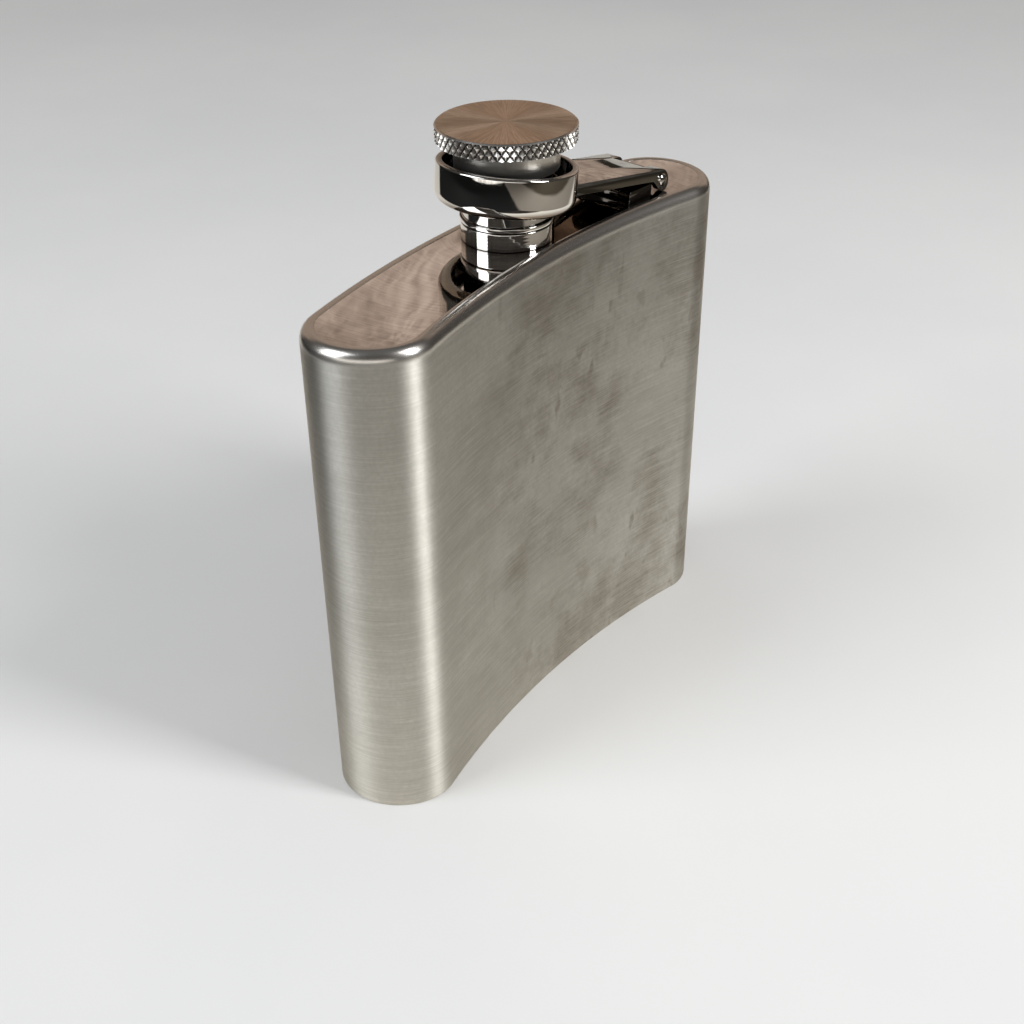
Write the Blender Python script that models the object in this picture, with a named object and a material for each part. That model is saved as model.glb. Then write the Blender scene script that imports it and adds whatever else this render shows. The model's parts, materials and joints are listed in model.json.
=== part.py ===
"""Curved stainless hip flask with a captive screw cap on a hinged arm.

Frame: metres, +Z up, +X along the width towards the hinge, +Y towards the
convex back; the concave side faces -Y. The origin is the middle of the bottom.
"""
import math

import bmesh
import bpy
from mathutils import Vector

MM = 0.001

# ---- driving dimensions -------------------------------------------------
# body: a band of even thickness bent around a vertical axis, with round ends
BEND_RADIUS = 175.2 * MM        # of the band's middle line, centre on the -Y side
HALF_LENGTH = 47.5 * MM         # along the middle line, from the middle to an end
HALF_THICKNESS = 10.2 * MM
END_LENGTH = 9.4 * MM           # how far each rounded end runs along the middle line
BODY_HEIGHT = 84.4 * MM
WALL = 0.7 * MM
TOP_EDGE_RADIUS = 2.0 * MM
LIP_WIDTH = 2.2 * MM            # how far the shell is rolled in over the top
BOTTOM_EDGE = 0.3 * MM
PLATE_THICKNESS = 0.8 * MM
PLATE_SINK = 0.1 * MM           # the top plate lies this far below the rolled lip
SEAM = 0.15 * MM                # gap where two welded pieces meet
SEAT = 0.1 * MM                 # gap under a piece that is welded on a plate

PLATE_TOP = BODY_HEIGHT - PLATE_SINK

# neck, in heights above the top plate
NECK_BORE = 4.5 * MM
NECK_ROOT = 5.5 * MM            # radius between the threads
NECK_CREST = 6.25 * MM          # radius over the threads
COLLAR_RADIUS = 7.5 * MM
COLLAR_TOP = 3.0 * MM
NECK_TOP = 9.2 * MM
SPIGOT_RADIUS = 5.3 * MM
SPIGOT_CLEARANCE = 0.3 * MM

# screw thread shared by the neck and the cap's sleeve
PITCH = 2.0 * MM
THREAD_BASE = 0.9 * MM          # axial width of the ridge at its root
THREAD_TIP = 0.4 * MM           # axial width of the ridge at its crest
THREAD_START = 4.9 * MM         # above the plate
NECK_TURNS = 1.9
SLEEVE_TURNS = 1.1

# cap: knurled knob, threaded sleeve and sealing disc
KNOB_RADIUS = 11.2 * MM
KNOB_TOP = 18.5 * MM
KNOB_BOTTOM = 15.8 * MM
KNOB_CHAMFER = 0.35 * MM
BOSS_RADIUS = 8.35 * MM
BOSS_BOTTOM = 11.6 * MM
PLUG_RADIUS = 6.2 * MM          # solid plug under the boss, inside the sleeve
PLUG_BOTTOM = 11.1 * MM
SLEEVE_RADIUS = 7.2 * MM
SLEEVE_BORE = 6.5 * MM
SLEEVE_CREST = 5.75 * MM
SLEEVE_BOTTOM = 3.15 * MM
LIP_RADIUS = 7.65 * MM
LIP_TOP = 3.9 * MM
SEAL_RADIUS = 6.1 * MM
SEAL_BOTTOM = 9.5 * MM
SEAL_THICKNESS = 1.3 * MM

# captive ring, in its own frame: the rim is at zero and the ring hangs below it
RING_RADIUS = 11.3 * MM
RING_DEPTH = 6.5 * MM
RING_BORE = 10.2 * MM
RING_RIM_EDGE = 0.4 * MM
RING_FOOT_RADIUS = 9.6 * MM
RING_FOOT_ROUND = 2.0 * MM
RING_FOOT_BORE = 8.9 * MM
WEB_BORE = 8.0 * MM             # inner flange that keeps the sleeve captive
WEB_TOP = 2.1 * MM              # below the rim
WEB_BOTTOM = 3.0 * MM
RING_TILT = math.radians(7.0)   # the ring droops towards the hinge
RIM_HEIGHT = 12.1 * MM          # middle of the rim above the plate
RING_OFFSET = 0.2 * MM          # the loose ring hangs a little towards the hinge

# arm, hinge pin and bracket, about the pin's axis
PIN_DISTANCE = 32.2 * MM        # from the neck's axis
ARM_YAW = -PIN_DISTANCE / (2.0 * BEND_RADIUS)  # the pin lies on the band's middle line
PIN_HEIGHT = 1.9 * MM           # above the plate
ARM_SLOPE = math.radians(9.0)
ARM_HALF_WIDTH = 6.5 * MM
ARM_TOP = 1.7 * MM              # top face above the pin's axis
ARM_WEB = 0.9 * MM
ARM_FLANGE = 1.1 * MM
ARM_DEPTH = 1.75 * MM           # height of the side flanges
ARM_END_RADIUS = 1.78 * MM      # the ears are round about the pin
ARM_EDGE = 0.3 * MM
NOTCH_HALF_WIDTH = 3.6 * MM
NOTCH_DEPTH = 1.65 * MM         # how far the notch reaches from the pin's axis
PIN_RADIUS = 0.6 * MM
PIN_HEAD_RADIUS = 1.05 * MM
PIN_HEAD_HEIGHT = 0.45 * MM
PIN_BORE = 0.68 * MM
KNUCKLE_RADIUS = 1.35 * MM
KNUCKLE_HALF_WIDTH = 3.3 * MM
BRACKET_START = 8.9 * MM        # from the pin's axis towards the neck
BRACKET_END = 3.0 * MM
BRACKET_HEIGHT = 2.0 * MM
BRACKET_EDGE = 0.7 * MM

# mesh fineness
TURN_SEGMENTS = 48
SMALL_SEGMENTS = 20
END_SEGMENTS = 12
SIDE_SEGMENTS = 12
THREAD_SEGMENTS = 24
SHARP_ANGLE = math.radians(35)
CUT = 5.0 * MM                  # how far cutters run past what they cut

STEEL = (0.52, 0.50, 0.47)
BRIGHT_STEEL = (0.62, 0.60, 0.57)
CHROME = (0.72, 0.71, 0.69)
RUBBER = (0.62, 0.61, 0.58)


# ---- scene and material helpers -----------------------------------------
def clear_scene():
    for old in list(bpy.data.objects):
        bpy.data.objects.remove(old, do_unlink=True)


def metal(name, colour, roughness, metallic=1.0):
    material = bpy.data.materials.new(name)
    material.use_nodes = True
    shader = material.node_tree.nodes["Principled BSDF"]
    shader.inputs["Base Color"].default_value = (*colour, 1.0)
    shader.inputs["Roughness"].default_value = roughness
    shader.inputs["Metallic"].default_value = metallic
    return material


def empty(name, location, parent=None, rotation=(0.0, 0.0, 0.0)):
    axis = bpy.data.objects.new(name, None)
    bpy.context.collection.objects.link(axis)
    axis.location = location
    axis.rotation_euler = rotation
    axis.parent = parent
    return axis


def add_object(name, mesh_data, material, parent=None, rotation=(0.0, 0.0, 0.0)):
    """Turn a bmesh into an object whose faces all point outwards."""
    bmesh.ops.recalc_face_normals(mesh_data, faces=mesh_data.faces)
    mesh = bpy.data.meshes.new(name)
    mesh_data.to_mesh(mesh)
    mesh_data.free()
    mesh.shade_smooth()
    mesh.set_sharp_from_angle(angle=SHARP_ANGLE)
    made = bpy.data.objects.new(name, mesh)
    bpy.context.collection.objects.link(made)
    made.parent = parent
    made.rotation_euler = rotation
    if material:
        mesh.materials.append(material)
    return made


def boolean(target, tool, operation):
    """Combine target with a guide object, which is kept out of the model."""
    modifier = target.modifiers.new(tool.name, "BOOLEAN")
    modifier.operation = operation
    modifier.solver = "EXACT"
    modifier.object = tool
    tool.hide_render = True
    tool.display_type = "WIRE"


# ---- mesh helpers -------------------------------------------------------
def bridge(mesh_data, first, second):
    """Join two rings of vertices, where a ring of one vertex is a tip."""
    count = max(len(first), len(second))
    for i in range(count):
        j = (i + 1) % count
        if len(first) == 1:
            mesh_data.faces.new((first[0], second[j], second[i]))
        elif len(second) == 1:
            mesh_data.faces.new((first[i], first[j], second[0]))
        else:
            mesh_data.faces.new((first[i], first[j], second[j], second[i]))


def skin(loops, wrap):
    """A solid through rings of points: wrapped into a tube wall, or capped."""
    mesh_data = bmesh.new()
    rings = [[mesh_data.verts.new(point) for point in loop] for loop in loops]
    for first, second in zip(rings, rings[1:]):
        bridge(mesh_data, first, second)
    if wrap:
        bridge(mesh_data, rings[-1], rings[0])
    else:
        for ring in (rings[0], rings[-1]):
            if len(ring) > 1:
                mesh_data.faces.new(ring)
    return mesh_data


def circle(radius, height, segments):
    if radius == 0.0:
        return [Vector((0.0, 0.0, height))]
    step = 2.0 * math.pi / segments
    return [
        Vector((radius * math.cos(step * i), radius * math.sin(step * i), height))
        for i in range(segments)
    ]


def turned(profile, wrap=True, segments=TURN_SEGMENTS):
    """A turned piece from (radius, height) points, hollow if it wraps."""
    return skin([circle(r, z, segments) for r, z in profile], wrap)


def arc(centre, radii, start, end, steps):
    """Points (a, b) on an arc or a quarter of an ellipse, angles in degrees."""
    points = []
    for i in range(steps + 1):
        angle = math.radians(start + (end - start) * i / steps)
        points.append((centre[0] + radii[0] * math.cos(angle),
                       centre[1] + radii[1] * math.sin(angle)))
    return points


def box(low, high):
    mesh_data = bmesh.new()
    bmesh.ops.create_cube(mesh_data, size=1.0)
    middle = (Vector(low) + Vector(high)) / 2.0
    size = Vector(high) - Vector(low)
    for vertex in mesh_data.verts:
        vertex.co = Vector(a * b for a, b in zip(vertex.co, size)) + middle
    return mesh_data


def rod(radius, half_length):
    """A round bar along Y, centred on the origin."""
    profile = [(0.0, -half_length), (radius, -half_length),
               (radius, half_length), (0.0, half_length)]
    mesh_data = turned(profile, wrap=False, segments=SMALL_SEGMENTS)
    for vertex in mesh_data.verts:
        vertex.co = Vector((vertex.co.x, vertex.co.z, -vertex.co.y))
    return mesh_data


def prism(profile, half_width):
    """A bar along Y from an outline of (x, z) points."""
    return skin([[Vector((x, side, z)) for x, z in profile]
                 for side in (-half_width, half_width)], wrap=False)


# ---- body ---------------------------------------------------------------
def band_outline(inset, height):
    """The body's plan outline, moved inwards by inset."""
    half_length = HALF_LENGTH - inset
    half_thickness = HALF_THICKNESS - inset
    end_length = END_LENGTH - inset
    straight = half_length - end_length
    flat = []
    for side in (1.0, -1.0):
        flat += [(side * x, side * y) for x, y in
                 arc((straight, 0.0), (end_length, half_thickness), 90, -90, END_SEGMENTS)]
        flat += [(side * straight * (1.0 - 2.0 * i / SIDE_SEGMENTS), -side * half_thickness)
                 for i in range(1, SIDE_SEGMENTS)]
    points = []
    for along, across in flat:
        angle = along / BEND_RADIUS
        radius = BEND_RADIUS + across
        points.append(Vector((radius * math.sin(angle),
                              radius * math.cos(angle) - BEND_RADIUS, height)))
    return points


def band_solid(profile, wrap):
    """A solid with the body's outline from (inset, height) points."""
    return skin([band_outline(inset, height) for inset, height in profile], wrap)


def make_body_shell(material):
    under_lip = BODY_HEIGHT - WALL
    inner_radius = TOP_EDGE_RADIUS - WALL
    corner = (TOP_EDGE_RADIUS, BODY_HEIGHT - TOP_EDGE_RADIUS)
    outer_edge = arc(corner, (TOP_EDGE_RADIUS, TOP_EDGE_RADIUS), 180, 90, 4)
    inner_edge = arc(corner, (inner_radius, inner_radius), 90, 180, 2)
    profile = [(BOTTOM_EDGE, 0.0), (0.0, BOTTOM_EDGE)]
    profile += outer_edge
    profile += [(LIP_WIDTH, BODY_HEIGHT), (LIP_WIDTH, under_lip)]
    profile += inner_edge
    profile += [(WALL, 0.0)]
    return add_object("body_shell", band_solid(profile, wrap=True), material)


def make_top_plate(material):
    """A stepped plate: its middle fills the shell's rolled opening."""
    step = BODY_HEIGHT - WALL - SEAM
    flange_inset = TOP_EDGE_RADIUS
    bottom = step - PLATE_THICKNESS
    profile = [(LIP_WIDTH + SEAM, PLATE_TOP), (LIP_WIDTH + SEAM, step),
               (flange_inset, step), (flange_inset, bottom)]
    plate = add_object("top_plate", band_solid(profile, wrap=False), material)
    hole = add_object("neck_hole_guide", turned(
        [(0.0, bottom - CUT), (SPIGOT_RADIUS + SPIGOT_CLEARANCE, bottom - CUT),
         (SPIGOT_RADIUS + SPIGOT_CLEARANCE, PLATE_TOP + CUT), (0.0, PLATE_TOP + CUT)],
        wrap=False), None)
    boolean(plate, hole, "DIFFERENCE")
    return plate


def make_bottom_plate(material):
    profile = [(WALL + SEAM, 0.0), (WALL + SEAM, PLATE_THICKNESS)]
    return add_object("bottom_plate", band_solid(profile, wrap=False), material)


# ---- screw thread -------------------------------------------------------
def thread_ridge(name, base, crest, turns, start, parent):
    """A helical ridge from the base radius to the crest radius, faded at its ends."""
    mesh_data = bmesh.new()
    steps = round(turns * THREAD_SEGMENTS)
    fade = THREAD_SEGMENTS / 8.0
    buried = math.copysign(0.25 * MM, base - crest)
    rings = []
    for i in range(steps + 1):
        angle = 2.0 * math.pi * i / THREAD_SEGMENTS
        middle = start + PITCH * i / THREAD_SEGMENTS
        full = min(1.0, (0.1 + i) / fade, (0.1 + steps - i) / fade)
        tip = base + (crest - base) * full
        section = [(base + buried, -THREAD_BASE / 2.0), (base, -THREAD_BASE / 2.0),
                   (tip, -THREAD_TIP / 2.0), (tip, THREAD_TIP / 2.0),
                   (base, THREAD_BASE / 2.0), (base + buried, THREAD_BASE / 2.0)]
        rings.append([mesh_data.verts.new(
            (r * math.cos(angle), r * math.sin(angle), middle + z)) for r, z in section])
    for first, second in zip(rings, rings[1:]):
        bridge(mesh_data, first, second)
    for ring in (rings[0], rings[-1]):
        mesh_data.faces.new(ring)
    return add_object(name, mesh_data, None, parent)


# ---- neck ---------------------------------------------------------------
def make_neck(material, axis):
    bevel = 0.2 * MM
    foot = BODY_HEIGHT - WALL - SEAM - PLATE_THICKNESS - PLATE_TOP
    profile = [
        (NECK_BORE, foot), (SPIGOT_RADIUS, foot), (SPIGOT_RADIUS, SEAT),
        (COLLAR_RADIUS, SEAT), (COLLAR_RADIUS, COLLAR_TOP - bevel),
        (COLLAR_RADIUS - bevel, COLLAR_TOP), (NECK_ROOT, COLLAR_TOP),
        (NECK_ROOT, NECK_TOP - bevel), (NECK_ROOT - bevel, NECK_TOP),
        (NECK_BORE + bevel, NECK_TOP), (NECK_BORE, NECK_TOP - bevel),
    ]
    neck = add_object("neck", turned(profile), material, axis)
    ridge = thread_ridge("neck_thread_guide", NECK_ROOT, NECK_CREST,
                         NECK_TURNS, THREAD_START, axis)
    boolean(neck, ridge, "UNION")
    return neck


# ---- cap ----------------------------------------------------------------
def make_cap_knob(material, axis):
    bevel = 0.15 * MM
    profile = [
        (0.0, KNOB_TOP), (KNOB_RADIUS - KNOB_CHAMFER, KNOB_TOP),
        (KNOB_RADIUS, KNOB_TOP - KNOB_CHAMFER), (KNOB_RADIUS, KNOB_BOTTOM + bevel),
        (KNOB_RADIUS - bevel, KNOB_BOTTOM), (BOSS_RADIUS, KNOB_BOTTOM),
        (BOSS_RADIUS, BOSS_BOTTOM + bevel), (BOSS_RADIUS - bevel, BOSS_BOTTOM),
        (PLUG_RADIUS, BOSS_BOTTOM), (PLUG_RADIUS, PLUG_BOTTOM), (0.0, PLUG_BOTTOM),
    ]
    return add_object("cap_knob", turned(profile, wrap=False), material, axis)


def make_cap_sleeve(material, axis):
    bevel = 0.15 * MM
    top = BOSS_BOTTOM - 2.0 * SEAM
    profile = [
        (SLEEVE_RADIUS, top), (SLEEVE_RADIUS, LIP_TOP),
        (LIP_RADIUS - bevel, LIP_TOP), (LIP_RADIUS, LIP_TOP - bevel),
        (LIP_RADIUS, SLEEVE_BOTTOM + bevel), (LIP_RADIUS - bevel, SLEEVE_BOTTOM),
        (SLEEVE_BORE, SLEEVE_BOTTOM), (SLEEVE_BORE, top),
    ]
    sleeve = add_object("cap_sleeve", turned(profile), material, axis)
    ridge = thread_ridge("sleeve_thread_guide", SLEEVE_BORE, SLEEVE_CREST,
                         SLEEVE_TURNS, THREAD_START + PITCH / 2.0, axis)
    boolean(sleeve, ridge, "UNION")
    return sleeve


def make_cap_seal(material, axis):
    bevel = 0.15 * MM
    top = SEAL_BOTTOM + SEAL_THICKNESS
    profile = [
        (0.0, top), (SEAL_RADIUS - bevel, top), (SEAL_RADIUS, top - bevel),
        (SEAL_RADIUS, SEAL_BOTTOM + bevel), (SEAL_RADIUS - bevel, SEAL_BOTTOM),
        (0.0, SEAL_BOTTOM),
    ]
    return add_object("cap_seal", turned(profile, wrap=False), material, axis)


# ---- captive ring and arm -----------------------------------------------
def ring_outside(grow):
    """The ring's outer outline from the rim down, moved outwards by grow."""
    radius = RING_RADIUS + grow
    shoulder = RING_DEPTH - RING_FOOT_ROUND
    points = [(radius - RING_RIM_EDGE, grow), (radius, -RING_RIM_EDGE)]
    points += arc((RING_FOOT_RADIUS + grow, -shoulder),
                  (RING_RADIUS - RING_FOOT_RADIUS, RING_FOOT_ROUND + grow), 0, -90, 5)
    return points


def make_captive_ring(material, frame):
    bevel = 0.15 * MM
    profile = ring_outside(0.0) + [
        (RING_FOOT_BORE, -RING_DEPTH), (RING_FOOT_BORE, -WEB_BOTTOM),
        (WEB_BORE, -WEB_BOTTOM), (WEB_BORE, -WEB_TOP), (RING_BORE, -WEB_TOP),
        (RING_BORE, -bevel), (RING_BORE + bevel, 0.0),
    ]
    return add_object("captive_ring", turned(profile), material, frame)


def arm_profile():
    """Side view of the arm: a flat strap that ends in a round ear."""
    reach = PIN_DISTANCE
    top_angle = math.degrees(math.asin(ARM_TOP / ARM_END_RADIUS))
    points = [(-reach, ARM_TOP)]
    points += arc((0.0, 0.0), (ARM_END_RADIUS, ARM_END_RADIUS), top_angle, -150, 16)
    under = ARM_TOP - ARM_DEPTH
    points += [(-1.4 * ARM_END_RADIUS, under), (-reach, under)]
    return points


def make_cap_arm(material, frame, ring_frame):
    block = prism(arm_profile(), ARM_HALF_WIDTH)
    long_edges = [e for e in block.edges
                  if all(v.co.z > ARM_TOP - ARM_EDGE / 2.0 for v in e.verts)
                  and e.verts[0].co.y * e.verts[1].co.y > 0.0]
    bmesh.ops.bevel(block, geom=long_edges, offset=ARM_EDGE, segments=3,
                    profile=0.5, affect="EDGES", clamp_overlap=True)
    arm = add_object("cap_arm", block, material, frame)
    inner = ARM_HALF_WIDTH - ARM_FLANGE
    channel = box((-PIN_DISTANCE - CUT, -inner, -CUT), (CUT, inner, ARM_TOP - ARM_WEB))
    notch = box((-NOTCH_DEPTH, -NOTCH_HALF_WIDTH, 0.0), (CUT, NOTCH_HALF_WIDTH, CUT))
    boolean(arm, add_object("channel_guide", channel, None, frame), "DIFFERENCE")
    boolean(arm, add_object("notch_guide", notch, None, frame), "DIFFERENCE")
    bore = rod(PIN_BORE, ARM_HALF_WIDTH + CUT)
    boolean(arm, add_object("ear_bore_guide", bore, None, frame), "DIFFERENCE")
    outside = ring_outside(SEAM)
    outside = ([(0.0, CUT), (RING_RADIUS + SEAM, CUT)] + outside[1:]
               + [(0.0, outside[-1][1])])
    boolean(arm, add_object("ring_guide", turned(outside, wrap=False), None, ring_frame),
            "DIFFERENCE")
    return arm


def make_hinge_pin(material, frame):
    outer = ARM_HALF_WIDTH + SEAT
    head = arc((0.0, outer), (PIN_HEAD_RADIUS, PIN_HEAD_HEIGHT), 0, 90, 4)[:-1]
    top_end = [(PIN_RADIUS, outer)] + head + [(0.0, outer + PIN_HEAD_HEIGHT)]
    profile = [(r, -z) for r, z in reversed(top_end)] + top_end
    pin = turned(profile, wrap=False, segments=SMALL_SEGMENTS)
    for vertex in pin.verts:
        vertex.co = Vector((vertex.co.x, vertex.co.z, -vertex.co.y))
    return add_object("hinge_pin", pin, material, frame)


def make_hinge_bracket(material, frame):
    floor = SEAT - PIN_HEIGHT
    top = BRACKET_HEIGHT - PIN_HEIGHT
    half_width = ARM_HALF_WIDTH - SEAT
    edge = BRACKET_EDGE
    profile = [(-BRACKET_START, floor)]
    profile += arc((-BRACKET_START + edge, top - edge), (edge, edge), 180, 90, 4)
    profile += [(-BRACKET_END, top), (-BRACKET_END, floor)]
    block = prism(profile, half_width)
    bracket = add_object("hinge_bracket", block, material, frame)
    neck_side = -BRACKET_END - edge
    knuckle = [(neck_side, floor)] + [(neck_side, 0.0)]
    knuckle += arc((0.0, 0.0), (KNUCKLE_RADIUS, KNUCKLE_RADIUS), 180, 0, 12)
    knuckle += [(KNUCKLE_RADIUS, floor)]
    barrel = add_object("knuckle_guide", prism(knuckle, KNUCKLE_HALF_WIDTH), None, frame)
    boolean(bracket, barrel, "UNION")
    bore = add_object("bracket_bore_guide", rod(PIN_BORE, KNUCKLE_HALF_WIDTH + CUT), None, frame)
    boolean(bracket, bore, "DIFFERENCE")
    return bracket


# ---- assembly -----------------------------------------------------------
def build():
    clear_scene()
    satin = metal("satin_steel", STEEL, 0.34)
    mirror = metal("polished_steel", BRIGHT_STEEL, 0.08)
    chrome = metal("chrome", CHROME, 0.05)
    knurled = metal("knurled_steel", BRIGHT_STEEL, 0.22)
    silicone = metal("silicone", RUBBER, 0.55, metallic=0.0)

    make_body_shell(satin)
    make_top_plate(mirror)
    make_bottom_plate(satin)

    neck_axis = empty("neck_axis", (0.0, 0.0, PLATE_TOP))
    make_neck(chrome, neck_axis)
    make_cap_knob(knurled, neck_axis)
    make_cap_sleeve(chrome, neck_axis)
    make_cap_seal(silicone, neck_axis)

    pin_axis = empty("pin_axis", (PIN_DISTANCE * math.cos(ARM_YAW),
                                  PIN_DISTANCE * math.sin(ARM_YAW),
                                  PLATE_TOP + PIN_HEIGHT), None, (0.0, 0.0, ARM_YAW))
    make_hinge_bracket(chrome, pin_axis)
    make_hinge_pin(chrome, pin_axis)
    ring_frame = empty("ring_frame",
                       (RING_OFFSET - PIN_DISTANCE, 0.0, RIM_HEIGHT - PIN_HEIGHT),
                       pin_axis, (0.0, RING_TILT, 0.0))
    arm_frame = empty("arm_frame", (0.0, 0.0, 0.0), pin_axis, (0.0, ARM_SLOPE, 0.0))
    make_captive_ring(chrome, ring_frame)
    make_cap_arm(chrome, arm_frame, ring_frame)


build()
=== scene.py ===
"""Looks of a curved stainless hip flask with a captive screw cap, built around its CAD frame.

The axes are the frame's: metres, +Z up the neck, +X along the width towards the hinge, +Y towards
the convex back. Heights of the neck, cap, ring and hinge are measured from the top plate.
"""
import json
import math

import bmesh
import bpy
from mathutils import Euler, Matrix, Vector


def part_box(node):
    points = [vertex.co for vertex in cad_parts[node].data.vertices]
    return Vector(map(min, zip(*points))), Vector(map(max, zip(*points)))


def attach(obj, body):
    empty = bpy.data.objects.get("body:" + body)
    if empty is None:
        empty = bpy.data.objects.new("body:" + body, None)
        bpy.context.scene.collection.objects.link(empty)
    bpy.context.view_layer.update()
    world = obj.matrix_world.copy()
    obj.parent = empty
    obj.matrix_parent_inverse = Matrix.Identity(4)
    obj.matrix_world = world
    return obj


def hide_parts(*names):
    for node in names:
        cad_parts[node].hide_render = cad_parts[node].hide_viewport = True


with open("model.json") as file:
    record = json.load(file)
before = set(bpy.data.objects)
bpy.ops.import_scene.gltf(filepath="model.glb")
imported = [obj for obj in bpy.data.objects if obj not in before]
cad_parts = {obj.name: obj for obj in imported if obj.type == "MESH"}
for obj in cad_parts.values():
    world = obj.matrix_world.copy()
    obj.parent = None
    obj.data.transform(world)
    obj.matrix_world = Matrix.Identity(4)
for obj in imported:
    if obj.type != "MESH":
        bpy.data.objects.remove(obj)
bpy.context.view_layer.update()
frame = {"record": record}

MM = 0.001

# ---- where things are, from the frame -----------------------------------
BODY_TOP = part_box("body_shell")[1].z
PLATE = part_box("top_plate")[1].z
PIN = next(Vector(j["pos_m"]) for j in frame["record"]["behaviour"]["joints"]
           if j["name"] == "arm_swing")

# ---- shapes, as the CAD part has them -----------------------------------
BEND_RADIUS = 175.2 * MM
HALF_LENGTH = 47.5 * MM
HALF_THICKNESS = 10.2 * MM
END_LENGTH = 9.4 * MM
WALL = 0.7 * MM
TOP_EDGE_RADIUS = 2.0 * MM
LIP_WIDTH = 2.2 * MM
ROLL_CROWN = 1.6 * MM           # inset of the rolled edge's highest line
ROLL_FALL_RADIUS = 1.6 * MM     # of the roll's inner side, down to the plate
BOTTOM_EDGE = 0.3 * MM
PLATE_THICKNESS = 0.8 * MM
SEAM = 0.02 * MM
CROWN_WIDTH = 4.5 * MM          # over which the plate falls a little towards its rim
CROWN_DROP = 0.03 * MM

NECK_BORE = 4.5 * MM
NECK_ROOT = 5.5 * MM
NECK_CREST = 6.25 * MM
NECK_TOP = 9.2 * MM
COLLAR_RADIUS = 7.5 * MM
COLLAR_TOP = 3.0 * MM
SPIGOT_RADIUS = 5.3 * MM

PITCH = 2.0 * MM
THREAD_RUN_OUT = 8.0            # the ridge fades over one part in this many of a turn
THREAD_BASE = 0.9 * MM
THREAD_TIP = 0.4 * MM
THREAD_START = 4.9 * MM
NECK_TURNS = 1.9
SLEEVE_TURNS = 1.1

KNOB_RADIUS = 11.2 * MM
KNOB_TOP = 18.5 * MM
KNOB_BOTTOM = 15.8 * MM
KNOB_CHAMFER = 0.25 * MM
KNURLS_AROUND = 54
KNURL_PITCH = 1.75 * MM
KNURL_DEPTH = 0.40 * MM
BOSS_RADIUS = 8.35 * MM
BOSS_BOTTOM = 11.6 * MM
PLUG_RADIUS = 6.2 * MM
PLUG_BOTTOM = 11.1 * MM
SLEEVE_RADIUS = 7.2 * MM
SLEEVE_BORE = 6.5 * MM
SLEEVE_CREST = 5.75 * MM
SLEEVE_BOTTOM = 3.15 * MM
LIP_RADIUS = 7.65 * MM
LIP_TOP = 3.9 * MM
SEAL_RADIUS = 6.1 * MM
SEAL_BOTTOM = 9.5 * MM
SEAL_THICKNESS = 1.3 * MM

RING_RADIUS = 11.3 * MM
RING_DEPTH = 6.5 * MM
RING_BORE = 10.2 * MM
RING_FOOT_RADIUS = 9.6 * MM
RING_FOOT_ROUND = 2.0 * MM
RING_FOOT_BORE = 8.9 * MM
WEB_BORE = 8.0 * MM
WEB_TOP = 2.1 * MM
WEB_BOTTOM = 3.0 * MM
RING_TILT = math.radians(7.0)
RIM_HEIGHT = 12.1 * MM
RING_OFFSET = 0.2 * MM

PIN_DISTANCE = Vector((PIN.x, PIN.y)).length
ARM_YAW = math.atan2(PIN.y, PIN.x)
PIN_HEIGHT = PIN.z - PLATE
ARM_SLOPE = math.radians(9.0)
ARM_HALF_WIDTH = 6.5 * MM
ARM_TOP = 1.7 * MM
ARM_WEB = 0.9 * MM
ARM_FLANGE = 1.1 * MM
ARM_DEPTH = 1.75 * MM
ARM_END_RADIUS = 1.78 * MM
NOTCH_HALF_WIDTH = 3.6 * MM
NOTCH_DEPTH = 1.65 * MM
PIN_RADIUS = 0.6 * MM
PIN_HEAD_RADIUS = 1.05 * MM
PIN_HEAD_HEIGHT = 0.45 * MM
PIN_BORE = 0.66 * MM
FLANGE_FLARE = 0.05              # share of its width that the arm narrows towards the top
KNUCKLE_RADIUS = 1.35 * MM
KNUCKLE_HALF_WIDTH = 3.3 * MM
BRACKET_START = 8.9 * MM
BRACKET_END = 3.0 * MM
BRACKET_HEIGHT = 2.0 * MM
BRACKET_EDGE = 0.7 * MM

# ---- how finely the shapes are cut --------------------------------------
TURN_SEGMENTS = 256
ROD_SEGMENTS = 64
KNURL_SEGMENTS = 12             # in each of the knurl's cells
END_SEGMENTS = 48
SIDE_SEGMENTS = 64
WALL_STEPS = 12
CROWN_STEPS = 12
TURNING_STEP = 0.07 * MM
NECK_STEP = 0.05 * MM
SLEEVE_STEP = 0.1 * MM
KNURL_STEP = 0.09 * MM
SHARP_ANGLE = math.radians(30)
BEVEL_ANGLE = math.radians(40)
SOFT_EDGE = 0.16 * MM           # on the folded strap and the bracket
FINE_ROUND = 0.15 * MM          # on turned edges
SEAT_DEPTH = 0.3 * MM           # how far the arm's end is let into the ring
CUT = 5.0 * MM                  # how far a cutter stands past what it cuts

scene = bpy.context.scene


# ---- geometry -----------------------------------------------------------
def arc(centre, radii, start, end, steps):
    """Points (a, b) on an arc or a quarter of an ellipse, angles in degrees."""
    points = []
    for i in range(steps + 1):
        angle = math.radians(start + (end - start) * i / steps)
        points.append((centre[0] + radii[0] * math.cos(angle),
                       centre[1] + radii[1] * math.sin(angle)))
    return points


def bridge(mesh_data, first, second):
    """Join two rings of vertices, where a ring of one vertex is a tip."""
    count = max(len(first), len(second))
    for i in range(count):
        j = (i + 1) % count
        if len(first) == 1:
            mesh_data.faces.new((first[0], second[j], second[i]))
        elif len(second) == 1:
            mesh_data.faces.new((first[i], first[j], second[0]))
        else:
            mesh_data.faces.new((first[i], first[j], second[j], second[i]))


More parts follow.
